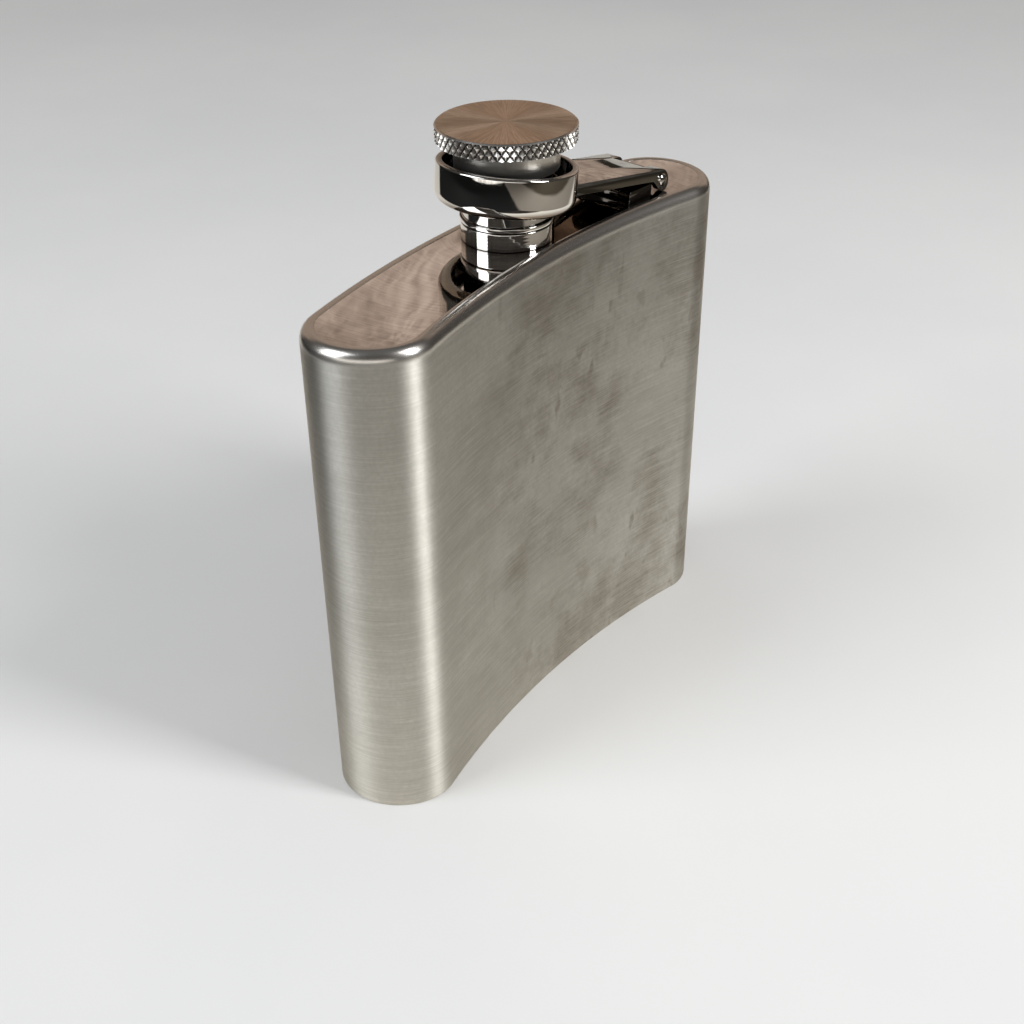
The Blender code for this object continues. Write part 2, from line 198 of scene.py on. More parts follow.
def skin(loops, wrap):
    """A solid through rings of points: wrapped into a tube wall, or capped."""
    mesh_data = bmesh.new()
    rings = [[mesh_data.verts.new(point) for point in loop] for loop in loops]
    for first, second in zip(rings, rings[1:]):
        bridge(mesh_data, first, second)
    if wrap:
        bridge(mesh_data, rings[-1], rings[0])
    else:
        for ring in (rings[0], rings[-1]):
            if len(ring) > 1:
                mesh_data.faces.new(ring)
    return mesh_data


def no_relief(radius, height, angle):
    return 0.0


def turned(profile, wrap=True, relief=no_relief, segments=TURN_SEGMENTS):
    """A turned piece from (radius, height) points, hollow if it wraps.

    relief(radius, height, angle) is added to the radius.
    """
    loops = []
    for radius, height in profile:
        if radius == 0.0:
            loops.append([Vector((0.0, 0.0, height))])
            continue
        loop = []
        for i in range(segments):
            angle = 2.0 * math.pi * i / segments
            r = radius + relief(radius, height, angle)
            loop.append(Vector((r * math.cos(angle), r * math.sin(angle), height)))
        loops.append(loop)
    return skin(loops, wrap)


def box(low, high):
    mesh_data = bmesh.new()
    bmesh.ops.create_cube(mesh_data, size=1.0)
    middle = (Vector(low) + Vector(high)) / 2.0
    size = Vector(high) - Vector(low)
    for vertex in mesh_data.verts:
        vertex.co = Vector(a * b for a, b in zip(vertex.co, size)) + middle
    return mesh_data


def along_y(mesh_data):
    """Lay a piece turned about Z along Y."""
    for vertex in mesh_data.verts:
        vertex.co = Vector((vertex.co.x, vertex.co.z, -vertex.co.y))
    return mesh_data


def rod(radius, half_length):
    profile = [(0.0, -half_length), (radius, -half_length),
               (radius, half_length), (0.0, half_length)]
    return along_y(turned(profile, wrap=False, segments=ROD_SEGMENTS))


def prism(profile, half_width):
    """A bar along Y from an outline of (x, z) points."""
    return skin([[Vector((x, side, z)) for x, z in profile]
                 for side in (-half_width, half_width)], wrap=False)


def mesh_object(name, mesh_data, matrix=Matrix.Identity(4)):
    bmesh.ops.recalc_face_normals(mesh_data, faces=mesh_data.faces)
    mesh = bpy.data.meshes.new(name)
    mesh_data.to_mesh(mesh)
    mesh_data.free()
    mesh.transform(matrix)
    made = bpy.data.objects.new(name, mesh)
    scene.collection.objects.link(made)
    return made


def finish_piece(piece, body, material, slot, *nodes):
    """Shade a piece, give it its material, and put it in the place of its CAD nodes."""
    piece.data.shade_smooth()
    piece.data.set_sharp_from_angle(angle=SHARP_ANGLE)
    piece.data.materials.clear()
    piece.data.materials.append(material)
    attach(piece, body)
    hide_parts(*nodes)
    return piece


def apply_modifiers(piece):
    graph = bpy.context.evaluated_depsgraph_get()
    mesh = bpy.data.meshes.new_from_object(piece.evaluated_get(graph))
    piece.modifiers.clear()
    piece.data = mesh


def carve(piece, cutters, operation="DIFFERENCE"):
    """Cut solids out of a piece, or add them to it, for good."""
    for cutter in cutters:
        modifier = piece.modifiers.new(cutter.name, "BOOLEAN")
        modifier.operation = operation
        modifier.solver = "EXACT"
        modifier.object = cutter
    apply_modifiers(piece)
    for cutter in cutters:
        bpy.data.objects.remove(cutter, do_unlink=True)


def soften_edges(piece):
    bevel = piece.modifiers.new("edge", "BEVEL")
    bevel.width = SOFT_EDGE
    bevel.segments = 3
    bevel.limit_method = "ANGLE"
    bevel.angle_limit = BEVEL_ANGLE
    bevel.miter_outer = "MITER_ARC"
    apply_modifiers(piece)


# ---- body ---------------------------------------------------------------
def band_point(along, across, height):
    angle = along / BEND_RADIUS
    radius = BEND_RADIUS + across
    return Vector((radius * math.sin(angle), radius * math.cos(angle) - BEND_RADIUS, height))


def band_outline(inset, height):
    """The body's plan outline, moved inwards by inset."""
    half_length = HALF_LENGTH - inset
    half_thickness = HALF_THICKNESS - inset
    end_length = END_LENGTH - inset
    straight = half_length - end_length
    flat = []
    for side in (1.0, -1.0):
        flat += [(side * x, side * y) for x, y in
                 arc((straight, 0.0), (end_length, half_thickness), 90, -90, END_SEGMENTS)]
        flat += [(side * straight * (1.0 - 2.0 * i / SIDE_SEGMENTS), -side * half_thickness)
                 for i in range(1, SIDE_SEGMENTS)]
    return [band_point(along, across, height) for along, across in flat]


def band_solid(profile, wrap):
    return skin([band_outline(inset, height) for inset, height in profile], wrap)


def wall_heights(low, high):
    return [low + (high - low) * i / WALL_STEPS for i in range(1, WALL_STEPS)]


def make_body(material):
    roll = (ROLL_CROWN, BODY_TOP - TOP_EDGE_RADIUS)
    fall = math.degrees(math.asin((LIP_WIDTH - ROLL_CROWN) / ROLL_FALL_RADIUS))
    profile = arc((BOTTOM_EDGE, BOTTOM_EDGE), (BOTTOM_EDGE, BOTTOM_EDGE), -90, -180, 4)
    profile += [(0.0, z) for z in wall_heights(BOTTOM_EDGE, roll[1])]
    profile += arc(roll, (ROLL_CROWN, TOP_EDGE_RADIUS), 180, 90, 16)
    profile += arc((ROLL_CROWN, BODY_TOP - ROLL_FALL_RADIUS),
                   (ROLL_FALL_RADIUS, ROLL_FALL_RADIUS), 90, 90 - fall, 6)[1:]
    profile += [(LIP_WIDTH, BODY_TOP - WALL)]
    profile += arc(roll, (ROLL_CROWN - WALL, TOP_EDGE_RADIUS - WALL), 92, 180, 5)
    profile += [(WALL, z) for z in reversed(wall_heights(0.0, roll[1]))]
    profile += [(WALL, 0.0)]
    shell = mesh_object("flask_shell", band_solid(profile, wrap=True))
    return finish_piece(shell, "flask", material, "satin_steel", "body_shell")


def make_top_plate(material):
    step = BODY_TOP - WALL - SEAM
    bottom = step - PLATE_THICKNESS
    rim = LIP_WIDTH + SEAM
    profile = []
    for i in range(CROWN_STEPS + 1):
        share = 1.0 - i / CROWN_STEPS
        profile.append((rim + CROWN_WIDTH * share, PLATE - CROWN_DROP * (1.0 - share) ** 2))
    profile += [(rim, step), (TOP_EDGE_RADIUS, step), (TOP_EDGE_RADIUS, bottom)]
    plate = mesh_object("shoulder_plate", band_solid(profile, wrap=False))
    hole = mesh_object("neck_hole", turned(
        [(0.0, bottom - CUT), (SPIGOT_RADIUS, bottom - CUT),
         (SPIGOT_RADIUS, PLATE + CUT), (0.0, PLATE + CUT)], wrap=False))
    carve(plate, [hole])
    return finish_piece(plate, "flask", material, "polished_steel", "top_plate")


def make_bottom_plate(material):
    edge = 0.2 * MM
    rim = WALL + SEAM
    profile = [(rim, PLATE_THICKNESS)]
    profile += arc((rim + edge, edge), (edge, edge), 180, 270, 3)
    plate = mesh_object("base_plate", band_solid(profile, wrap=False))
    return finish_piece(plate, "flask", material, "satin_steel", "bottom_plate")


# ---- screw thread -------------------------------------------------------
def thread_relief(start, turns, rise):
    """Relief of a right-hand ridge that climbs from start and fades at both ends."""
    def relief(radius, height, angle):
        best = 0.0
        first = math.floor((height - start) / PITCH - 1.0)
        for lap in range(first, first + 3):
            climbed = lap + angle / (2.0 * math.pi)
            if not 0.0 <= climbed <= turns:
                continue
            offset = abs(height - start - PITCH * climbed)
            slope = (THREAD_BASE / 2.0 - offset) / (THREAD_BASE / 2.0 - THREAD_TIP / 2.0)
            slope = min(1.0, max(0.0, slope))
            fade = min(1.0, climbed * THREAD_RUN_OUT, (turns - climbed) * THREAD_RUN_OUT)
            best = max(best, slope * slope * (3.0 - 2.0 * slope) * fade)
        return rise * best
    return relief


def steps_between(low, high, pitch):
    count = max(1, round((high - low) / pitch))
    return [low + (high - low) * i / count for i in range(count + 1)]


# ---- neck ---------------------------------------------------------------
def make_neck(material):
    bevel = 0.2 * MM
    foot_bevel = 0.1 * MM
    ripple_depth, ripple_waves = 0.0018 * MM, 11.0 / MM
    foot = BODY_TOP - WALL - SEAM - PLATE_THICKNESS - PLATE
    profile = [(NECK_BORE, foot), (SPIGOT_RADIUS, foot), (SPIGOT_RADIUS, 0.0),
               (COLLAR_RADIUS - foot_bevel, 0.0)]
    profile += [(COLLAR_RADIUS + ripple_depth * math.cos(z * ripple_waves), z)
                for z in steps_between(foot_bevel, COLLAR_TOP - bevel, TURNING_STEP)]
    profile += arc((COLLAR_RADIUS - bevel, COLLAR_TOP - bevel), (bevel, bevel), 20, 90, 4)
    profile += [(NECK_ROOT, z) for z in steps_between(COLLAR_TOP, NECK_TOP - bevel, NECK_STEP)]
    profile += arc((NECK_ROOT - bevel, NECK_TOP - bevel), (bevel, bevel), 20, 90, 4)
    profile += arc((NECK_BORE + bevel, NECK_TOP - bevel), (bevel, bevel), 90, 180, 4)
    ridge = thread_relief(THREAD_START, NECK_TURNS, NECK_CREST - NECK_ROOT)

    def relief(radius, height, angle):
        on_neck = radius == NECK_ROOT and COLLAR_TOP < height < NECK_TOP - bevel
        return ridge(radius, height, angle) if on_neck else 0.0

    neck = mesh_object("threaded_neck", turned(profile, relief=relief),
                       Matrix.Translation((0.0, 0.0, PLATE)))
    return finish_piece(neck, "flask", material, "chrome", "neck")


# ---- cap ----------------------------------------------------------------
def knurl(radius, height, angle):
    """Crossed grooves that leave small pyramids round the knob's rim."""
    around = KNURLS_AROUND * angle / (2.0 * math.pi)
    rise = (height - KNOB_BOTTOM) / KNURL_PITCH
    ridges = [1.0 - abs(2.0 * ((t + 0.5) % 1.0) - 1.0) for t in (around + rise, around - rise)]
    return KNURL_DEPTH * (min(ridges) - 1.0)


def make_knob(material):
    rim, chamfer_step, under_cut = 0.1 * MM, 0.02 * MM, 0.3 * MM
    low = KNOB_BOTTOM + 0.06 * MM
    high = KNOB_TOP - KNOB_CHAMFER
    knurled = steps_between(low, high - 0.05 * MM, KNURL_STEP)
    profile = [(0.0, KNOB_TOP)]
    profile += [(KNOB_RADIUS * share, KNOB_TOP) for share in (0.15, 0.4, 0.7, 0.85)]
    profile += arc((KNOB_RADIUS - KNOB_CHAMFER - rim, KNOB_TOP - rim), (rim, rim), 90, 35, 3)
    profile += [(KNOB_RADIUS - chamfer_step, high)]
    profile += [(KNOB_RADIUS, z) for z in reversed(knurled)]
    profile += [(KNOB_RADIUS - under_cut, KNOB_BOTTOM), (BOSS_RADIUS, KNOB_BOTTOM)]
    profile += [(BOSS_RADIUS, BOSS_BOTTOM + FINE_ROUND)]
    profile += arc((BOSS_RADIUS - FINE_ROUND, BOSS_BOTTOM + FINE_ROUND),
                   (FINE_ROUND, FINE_ROUND), 0, -90, 3)[1:]
    profile += [(PLUG_RADIUS, BOSS_BOTTOM), (PLUG_RADIUS, PLUG_BOTTOM), (0.0, PLUG_BOTTOM)]

    def relief(radius, height, angle):
        return knurl(radius, height, angle) if radius == KNOB_RADIUS else 0.0

    knob = mesh_object("knurled_knob", turned(profile, wrap=False, relief=relief,
                                              segments=KNURLS_AROUND * KNURL_SEGMENTS),
                       Matrix.Translation((0.0, 0.0, PLATE)))
    return finish_piece(knob, "cap", material, "knurled_steel", "cap_knob")


def make_sleeve(material):
    bevel = FINE_ROUND
    fillet = 0.1 * MM
    profile = [(SLEEVE_RADIUS, BOSS_BOTTOM), (SLEEVE_RADIUS, LIP_TOP + fillet),
               (SLEEVE_RADIUS + fillet, LIP_TOP)]
    profile += arc((LIP_RADIUS - bevel, LIP_TOP - bevel), (bevel, bevel), 90, 0, 4)
    profile += arc((LIP_RADIUS - bevel, SLEEVE_BOTTOM + bevel), (bevel, bevel), 0, -90, 4)
    profile += [(SLEEVE_BORE, z) for z in steps_between(SLEEVE_BOTTOM, BOSS_BOTTOM, SLEEVE_STEP)]
    ridge = thread_relief(THREAD_START + PITCH / 2.0, SLEEVE_TURNS, SLEEVE_CREST - SLEEVE_BORE)

    def relief(radius, height, angle):
        return ridge(radius, height, angle) if radius == SLEEVE_BORE else 0.0

    sleeve = mesh_object("threaded_sleeve", turned(profile, relief=relief),
                         Matrix.Translation((0.0, 0.0, PLATE)))
    return finish_piece(sleeve, "cap", material, "chrome", "cap_sleeve")


def make_seal(material):
    bevel = 0.25 * MM
    top = SEAL_BOTTOM + SEAL_THICKNESS
    profile = [(0.0, top)]
    profile += arc((SEAL_RADIUS - bevel, top - bevel), (bevel, bevel), 90, 0, 4)
    profile += arc((SEAL_RADIUS - bevel, SEAL_BOTTOM + bevel), (bevel, bevel), 0, -90, 4)
    profile += [(NECK_ROOT, SEAL_BOTTOM), (NECK_BORE, SEAL_BOTTOM), (0.0, SEAL_BOTTOM)]
    seal = mesh_object("seal_disc", turned(profile, wrap=False),
                       Matrix.Translation((0.0, 0.0, PLATE)))
    return finish_piece(seal, "seal", material, "silicone", "cap_seal")


# ---- captive ring and arm -----------------------------------------------
pin_frame = Matrix.Translation(PIN) @ Matrix.Rotation(ARM_YAW, 4, "Z")
ring_frame = (pin_frame
              @ Matrix.Translation((RING_OFFSET - PIN_DISTANCE, 0.0, RIM_HEIGHT - PIN_HEIGHT))
              @ Matrix.Rotation(RING_TILT, 4, "Y"))
arm_frame = pin_frame @ Matrix.Rotation(ARM_SLOPE, 4, "Y")


def ring_outside(inset):
    """The ring's outer outline from its rim down, moved inwards by inset."""
    shoulder = RING_DEPTH - RING_FOOT_ROUND
    edge, flat = 0.35 * MM, 0.3 * MM
    radius = RING_RADIUS - inset
    points = [(radius - edge - flat, 0.0)]
    points += arc((radius - edge, -edge), (edge, edge), 90, 0, 6)
    points += arc((RING_FOOT_RADIUS - inset, -shoulder),
                  (RING_RADIUS - RING_FOOT_RADIUS, RING_FOOT_ROUND - inset), 0, -90, 20)
    return points


def make_ring(material):
    bevel = 0.25 * MM
    fine = (FINE_ROUND, FINE_ROUND)
    profile = ring_outside(0.0)
    profile += arc((RING_FOOT_BORE + FINE_ROUND, -RING_DEPTH + FINE_ROUND), fine, -90, -180, 3)
    profile += [(RING_FOOT_BORE, -WEB_BOTTOM)]
    profile += arc((WEB_BORE + FINE_ROUND, -WEB_BOTTOM + FINE_ROUND), fine, -90, -180, 3)
    profile += arc((WEB_BORE + FINE_ROUND, -WEB_TOP - FINE_ROUND), fine, 180, 90, 3)
    profile += [(RING_BORE, -WEB_TOP)]
    profile += arc((RING_BORE + bevel, -bevel), (bevel, bevel), 180, 90, 5)
    ring = mesh_object("captive_collar", turned(profile), ring_frame)
    return finish_piece(ring, "arm", material, "chrome", "captive_ring")


def make_arm(material):
    top_angle = math.degrees(math.asin(ARM_TOP / ARM_END_RADIUS))
    under = ARM_TOP - ARM_DEPTH
    profile = [(-PIN_DISTANCE, ARM_TOP)]
    profile += arc((0.0, 0.0), (ARM_END_RADIUS, ARM_END_RADIUS), top_angle, -150, 40)
    profile += [(-1.4 * ARM_END_RADIUS, under), (-PIN_DISTANCE, under)]
    arm = mesh_object("cap_strap", prism(profile, ARM_HALF_WIDTH))
    inner = ARM_HALF_WIDTH - ARM_FLANGE
    channel = mesh_object("channel", box((-PIN_DISTANCE - CUT, -inner, -CUT),
                                         (CUT, inner, ARM_TOP - ARM_WEB)))
    notch = mesh_object("notch", box((-NOTCH_DEPTH, -NOTCH_HALF_WIDTH, 0.0),
                                     (CUT, NOTCH_HALF_WIDTH, CUT)))
    bore = mesh_object("bore", rod(PIN_BORE, ARM_HALF_WIDTH + CUT))
    outside = [(0.0, CUT), (RING_RADIUS - SEAT_DEPTH, CUT)] + ring_outside(SEAT_DEPTH)[1:]
    outside.append((0.0, -RING_DEPTH + SEAT_DEPTH))
    to_arm = arm_frame.inverted() @ ring_frame
    seat = mesh_object("seat", turned(outside, wrap=False), to_arm)
    carve(arm, [channel, notch, bore, seat])
    for vertex in arm.data.vertices:
        vertex.co.y *= 1.0 - FLANGE_FLARE * (vertex.co.z - under) / ARM_DEPTH
    soften_edges(arm)
    arm.data.transform(arm_frame)
    return finish_piece(arm, "arm", material, "chrome", "cap_arm")


def make_pin(material):
    head = arc((0.0, ARM_HALF_WIDTH), (PIN_HEAD_RADIUS, PIN_HEAD_HEIGHT), 0, 90, 10)[:-1]
    top_end = [(PIN_RADIUS, ARM_HALF_WIDTH)] + head
    top_end.append((0.0, ARM_HALF_WIDTH + PIN_HEAD_HEIGHT))
    profile = [(r, -z) for r, z in reversed(top_end)] + top_end
    turned_pin = turned(profile, wrap=False, segments=ROD_SEGMENTS)
    pin = mesh_object("pivot_pin", along_y(turned_pin), pin_frame)
    return finish_piece(pin, "arm", material, "chrome", "hinge_pin")


def make_bracket(material):
    floor = -PIN_HEIGHT
    top = BRACKET_HEIGHT - PIN_HEIGHT
    edge = BRACKET_EDGE
    half_width = ARM_HALF_WIDTH - 0.1 * MM
    profile = [(-BRACKET_START, floor)]
    profile += arc((-BRACKET_START + edge, top - edge), (edge, edge), 180, 90, 10)
    profile += [(-BRACKET_END, top), (-BRACKET_END, floor)]
    bracket = mesh_object("bracket_block", prism(profile, half_width))
    neck_side = -BRACKET_END - edge
    knuckle = [(neck_side, floor), (neck_side, 0.0)]
    knuckle += arc((0.0, 0.0), (KNUCKLE_RADIUS, KNUCKLE_RADIUS), 180, 0, 32)
    knuckle += [(KNUCKLE_RADIUS, floor)]
    barrel = mesh_object("barrel", prism(knuckle, KNUCKLE_HALF_WIDTH))
    carve(bracket, [barrel], "UNION")
    bore = mesh_object("bracket_bore", rod(PIN_BORE, KNUCKLE_HALF_WIDTH + CUT))
    carve(bracket, [bore])
    soften_edges(bracket)
    bracket.data.transform(pin_frame)
    return finish_piece(bracket, "flask", material, "chrome", "hinge_bracket")


# ---- materials ----------------------------------------------------------
STEEL_DARK = (0.52, 0.507, 0.460, 1.0)
STEEL_PALE = (0.64, 0.625, 0.578, 1.0)
STROKE = (0.80, 0.785, 0.740, 1.0)
STAIN = (0.25, 0.19, 0.13, 1.0)
ROLLED = (0.62, 0.60, 0.57, 1.0)
# painted brown shade for faces of the fittings that turn downwards
UNDERSIDE_PAINTED_SHADE = (0.20, 0.15, 0.11, 1.0)
# painted shade for gaps in the fittings
PAINTED_GAP_SHADE = (0.04, 0.035, 0.03, 1.0)
ROLL_STARTS = 2.6 * MM          # below the body's top, where brushing gives way to the roll
ROLL_SMOOTH = 0.8 * MM


class Nodes:
    """Shorthand for building a shader tree."""

    def __init__(self, tree):
        self.tree = tree

    def times(self, a, b):
        return self.math("MULTIPLY", a, b)

    def add(self, kind, **settings):
        node = self.tree.nodes.new(kind)
        for name, value in settings.items():
            setattr(node, name, value)
        return node

    def put(self, value, socket):
        if isinstance(value, bpy.types.NodeSocket):
            self.tree.links.new(value, socket)
        else:
            socket.default_value = value

    def math(self, operation, a, b=0.0):
        node = self.add("ShaderNodeMath", operation=operation)
        self.put(a, node.inputs[0])
        self.put(b, node.inputs[1])
        return node.outputs[0]

    def vector(self, socket):
        """The three numbers of a vector fed to a socket that has no value of its own."""
        node = self.add("ShaderNodeCombineXYZ")
        self.tree.links.new(node.outputs[0], socket)
        return node.inputs[2]

    def dot(self, a, direction):
        node = self.add("ShaderNodeVectorMath", operation="DOT_PRODUCT")
        self.put(a, node.inputs[0])
        self.put(direction, node.inputs[1])
        return node.outputs["Value"]

    def scaled(self, vector, factors):
        node = self.add("ShaderNodeVectorMath", operation="MULTIPLY")
        self.put(vector, node.inputs[0])
        self.put(factors, node.inputs[1])
        return node.outputs[0]

    def noise(self, vector, scale, detail=2.0, roughness=0.5, distortion=0.0):
        node = self.add("ShaderNodeTexNoise")
        self.put(vector, node.inputs["Vector"])
        node.inputs["Scale"].default_value = scale
        node.inputs["Detail"].default_value = detail
        node.inputs["Roughness"].default_value = roughness
        node.inputs["Distortion"].default_value = distortion
        return node.outputs["Fac"]

    def ramp(self, value, low, high, out_low=0.0, out_high=1.0, kind="SMOOTHSTEP"):
        node = self.add("ShaderNodeMapRange", interpolation_type=kind)
        for given, socket in zip((value, low, high, out_low, out_high), node.inputs):
            self.put(given, socket)
        return node.outputs["Result"]

    def mix(self, factor, first, second, blend="MIX"):
        node = self.add("ShaderNodeMix", data_type="RGBA", blend_type=blend)
        self.put(factor, node.inputs["Factor"])
        self.put(first, node.inputs["A"])
        self.put(second, node.inputs["B"])
        return node.outputs["Result"]

    def bump(self, height, distance, strength=1.0, normal=None):
        node = self.add("ShaderNodeBump")
        self.put(height, node.inputs["Height"])
        node.inputs["Distance"].default_value = distance
        self.put(strength, node.inputs["Strength"])
        if normal is not None:
            self.put(normal, node.inputs["Normal"])
        return node.outputs["Normal"]


def new_material(name):
    material = bpy.data.materials.new(name)
    material.use_nodes = True
    nodes = Nodes(material.node_tree)
    shader = material.node_tree.nodes["Principled BSDF"]
    place = nodes.add("ShaderNodeTexCoord").outputs["Object"]
    return material, nodes, shader, place


def satin_steel():
    """Steel brushed along the band, with brown handling stains and a smoother rolled edge."""
    material, nodes, shader, place = new_material("satin_steel")
    height = nodes.dot(place, (0.0, 0.0, 1.0))
    roll = nodes.ramp(height, BODY_TOP - ROLL_STARTS, BODY_TOP - ROLL_SMOOTH)
    strokes = nodes.noise(nodes.scaled(place, (100.0, 100.0, 3800.0)), 1.0, 4.0, 0.7)
    long_strokes = nodes.noise(nodes.scaled(place, (22.0, 22.0, 1400.0)), 1.0, 4.0, 0.6)
    grit = nodes.noise(place, 1500.0, 2.0, 0.6)
    cloud = nodes.noise(place, 40.0, 4.0, 0.6, 0.3)
    # stains: soft blotches and small upright dabs, fewer at the left end and on the back
    blotch = nodes.ramp(nodes.noise(place, 62.0, 6.0, 0.72), 0.42, 0.66)
    tall = nodes.noise(nodes.scaled(place, (1.0, 1.0, 0.45)), 330.0, 2.0, 0.5)
    dabs = nodes.times(nodes.ramp(tall, 0.61, 0.72), nodes.ramp(cloud, 0.42, 0.58))
    rightwards = nodes.dot(place, (1.0, 0.0, 0.0))
    backwards = nodes.dot(nodes.add("ShaderNodeTexCoord").outputs["Normal"], (0.0, 1.0, 0.0))
    handled = nodes.times(nodes.ramp(rightwards, -34.0 * MM, 0.0, 0.15, 1.4),
                          nodes.ramp(backwards, -0.2, 0.5, 1.0, 0.4))
    stain = nodes.times(nodes.math("MAXIMUM", blotch, dabs), handled)
    base = nodes.mix(nodes.ramp(cloud, 0.35, 0.65), STEEL_DARK, STEEL_PALE)
    base = nodes.mix(nodes.times(stain, 0.46), base, STAIN)
    base = nodes.mix(nodes.ramp(strokes, 0.35, 0.75, 0.0, 0.6), base, STROKE)
    base = nodes.mix(nodes.ramp(grit, 0.35, 0.70, 0.0, 0.34), base, STEEL_DARK)
    base = nodes.mix(nodes.ramp(long_strokes, 0.35, 0.65, 0.14, 0.0), base, STEEL_DARK)
    rough = nodes.math("ADD", nodes.ramp(long_strokes, 0.3, 0.7, 0.46, 0.52, "LINEAR"),
                       nodes.times(stain, 0.05))
    nodes.put(nodes.mix(roll, base, ROLLED), shader.inputs["Base Color"])
    nodes.put(nodes.ramp(roll, 0.0, 1.0, rough, 0.27), shader.inputs["Roughness"])
    nodes.put(nodes.ramp(roll, 0.0, 0.8, 0.9, 0.2), shader.inputs["Anisotropic"])
    nodes.put(1.0, shader.inputs["Metallic"])
    nodes.put(1.0, nodes.vector(shader.inputs["Tangent"]))
    depth = nodes.ramp(roll, 0.0, 1.0, 0.8, 0.2)
    nodes.put(nodes.bump(strokes, 0.006 * MM, depth), shader.inputs["Normal"])
    return material


def radial(nodes, place):
    """Distance from the neck's axis, and a seamless direction vector about it."""
    flat = nodes.scaled(place, (1.0, 1.0, 0.0))
    distance = nodes.add("ShaderNodeVectorMath", operation="LENGTH")
    nodes.put(flat, distance.inputs[0])
    around = nodes.add("ShaderNodeVectorMath", operation="NORMALIZE")
    nodes.put(flat, around.inputs[0])
    return distance.outputs["Value"], around.outputs[0]


def gap_shade_mask(nodes, reach):
    """1 in the open, falling to 0 in gaps narrower than reach: where shade is painted."""
    shade = nodes.add("ShaderNodeAmbientOcclusion", samples=6)
    shade.inputs["Distance"].default_value = reach
    return nodes.ramp(shade.outputs["AO"], 0.25, 0.85)


def polished_steel():
    """A polished plate: wheel marks centred on the neck, waves, smears and painted shade in its
    corners.
    """
    material, nodes, shader, place = new_material("polished_steel")
    distance, around = radial(nodes, place)
    ring = nodes.add("ShaderNodeVectorMath", operation="ADD")
    nodes.put(nodes.scaled(around, (1.6, 1.6, 0.0)), ring.inputs[0])
    nodes.put(nodes.times(distance, 2200.0), nodes.vector(ring.inputs[1]))
    marks = nodes.noise(ring.outputs[0], 1.0, 3.0, 0.6)
    wave = nodes.noise(place, 60.0, 2.0, 0.4)
    smear = nodes.noise(place, 90.0, 2.0, 0.5, 4.0)
    base = nodes.mix(nodes.ramp(marks, 0.36, 0.64),
                     (0.76, 0.73, 0.71, 1.0), (0.84, 0.82, 0.80, 1.0))
    base = nodes.mix(nodes.ramp(smear, 0.55, 0.8, 0.0, 0.4), base, (0.95, 0.91, 0.86, 1.0))
    # painted shade where other parts stand closer than 2 mm
    base = nodes.mix(gap_shade_mask(nodes, 2.0 * MM), (0.20, 0.17, 0.14, 1.0), base)
    nodes.put(base, shader.inputs["Base Color"])
    nodes.put(nodes.ramp(smear, 0.4, 0.8, 0.03, 0.10), shader.inputs["Roughness"])
    nodes.put(1.0, shader.inputs["Metallic"])
    rings = nodes.bump(marks, 0.004 * MM, 0.5)
    nodes.put(nodes.bump(wave, 0.16 * MM, 0.7, rings), shader.inputs["Normal"])
    return material


def chrome(name, reach, dark_tone=(0.68, 0.66, 0.63, 1.0), clear=(0.78, 0.77, 0.75, 1.0)):
    """Mirror-polished fittings, with painted brown shade on faces turned downwards and painted
    shade in gaps narrower than reach.
    """
    material, nodes, shader, place = new_material(name)
    smear = nodes.noise(place, 300.0, 3.0, 0.6)
    cloud = nodes.noise(place, 90.0, 3.0, 0.6)
    base = nodes.mix(nodes.ramp(cloud, 0.35, 0.7), dark_tone, clear)
    # painted shade: faces turned downwards get a brown colour
    facing_up = nodes.dot(nodes.add("ShaderNodeTexCoord").outputs["Normal"], (0.0, 0.0, 1.0))
    base = nodes.mix(nodes.ramp(facing_up, -0.6, -0.1), UNDERSIDE_PAINTED_SHADE, base)
    # painted shade in gaps narrower than reach
    base = nodes.mix(gap_shade_mask(nodes, reach), PAINTED_GAP_SHADE, base)
    nodes.put(base, shader.inputs["Base Color"])
    nodes.put(nodes.ramp(smear, 0.4, 0.8, 0.03, 0.10), shader.inputs["Roughness"])
    nodes.put(1.0, shader.inputs["Metallic"])
    turning = nodes.noise(nodes.scaled(place, (60.0, 60.0, 2600.0)), 1.0, 3.0, 0.6)
    fine = nodes.bump(turning, 0.0005 * MM, 0.5)
    nodes.put(nodes.bump(nodes.noise(place, 240.0, 2.0), 0.02 * MM, 0.5, fine),
              shader.inputs["Normal"])
    return material


